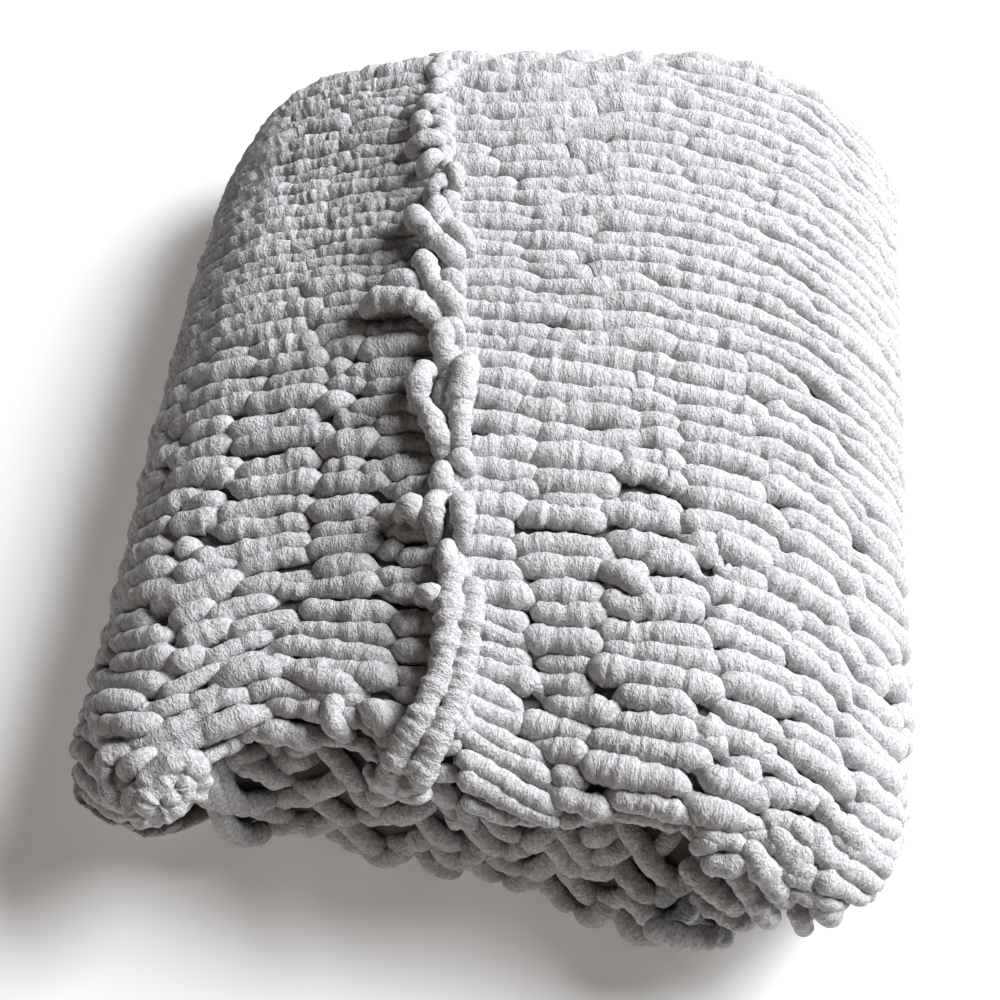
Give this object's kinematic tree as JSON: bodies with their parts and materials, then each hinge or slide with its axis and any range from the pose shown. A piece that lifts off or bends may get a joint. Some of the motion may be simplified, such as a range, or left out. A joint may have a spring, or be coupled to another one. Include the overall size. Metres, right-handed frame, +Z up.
{
  "type": "folded knit blanket",
  "caption": "Chunky knit throw blanket in pale grey chenille yarn, folded in half and then gate folded to a thick bundle lying flat.",
  "frame": {"origin": "centre of the bundle's plan box, on the surface it lies on", "axes": "+Z up, +Y to the back, where the half fold is, +X to the right as seen from the open front"},
  "size_m": [0.6894, 0.7602, 0.1965],
  "materials": {
    "yarn": "matt chenille pile"
  },
  "bodies": {
    "root": {"blanket": "yarn"}
  },
  "joints": []
}
